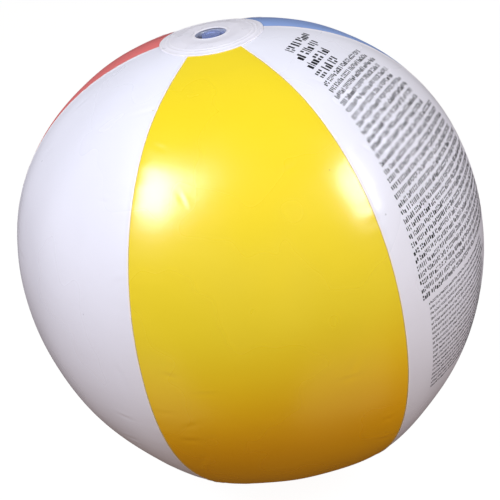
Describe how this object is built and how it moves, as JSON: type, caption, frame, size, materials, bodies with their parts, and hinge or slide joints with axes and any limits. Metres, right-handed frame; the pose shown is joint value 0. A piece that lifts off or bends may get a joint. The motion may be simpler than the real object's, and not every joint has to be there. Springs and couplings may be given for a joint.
{
  "type": "inflatable beach ball",
  "caption": "Inflated film ball of coloured and white gores joined at welded seams, with round end discs at the poles and a push-in valve neck with a strapped stopper and a check flap.",
  "frame": {"origin": "centre of the flat that the ball stands on, at the closed end's disc", "axes": "+Z along the pole axis up to the valve, -Y towards the middle of the yellow gore, +X along the seam between the white and the blue gore"},
  "size_m": [0.3548, 0.3472, 0.3498],
  "materials": {
    "yellow_film": "glossy soft vinyl film",
    "white_film": "glossy soft vinyl film",
    "red_film": "glossy soft vinyl film",
    "blue_film": "glossy soft vinyl film",
    "disc_film": "satin, slightly see-through vinyl disc",
    "clear_vinyl": "clear soft vinyl with a blue tint",
    "print_ink": "thin matt ink on the film"
  },
  "bodies": {
    "envelope": {"panel_red": "red_film", "panel_white_left": "white_film", "panel_yellow": "yellow_film", "panel_white_right": "white_film", "panel_blue": "blue_film", "panel_white_rear": "white_film", "valve_disc": "disc_film", "closed_end_disc": "disc_film", "valve_flange": "clear_vinyl", "valve_rolling_wall": "clear_vinyl"},
    "neck": {"valve_stem": "clear_vinyl"},
    "plug": {"stopper": "clear_vinyl", "stopper_strap": "clear_vinyl"},
    "flap": {"check_flap": "clear_vinyl"}
  },
  "joints": [
    {"name": "neck_slide", "type": "slide", "parent": "envelope", "child": "neck", "axis": [0, 0, 1], "range_m": [0, 0.016], "deforming": ["valve_rolling_wall"]},
    {"name": "stopper_hinge", "type": "hinge", "parent": "neck", "child": "plug", "pos_m": [0.0089, 0, 0.34845], "axis": [0, 1, 0], "range_deg": [0, 120]},
    {"name": "flap_hinge", "type": "hinge", "parent": "neck", "child": "flap", "pos_m": [-0.006, 0, 0.33265], "axis": [0, 1, 0], "range_deg": [0, 60], "stiffness_Nm_per_rad": 0.00002, "springref_deg": -28.65}
  ]
}
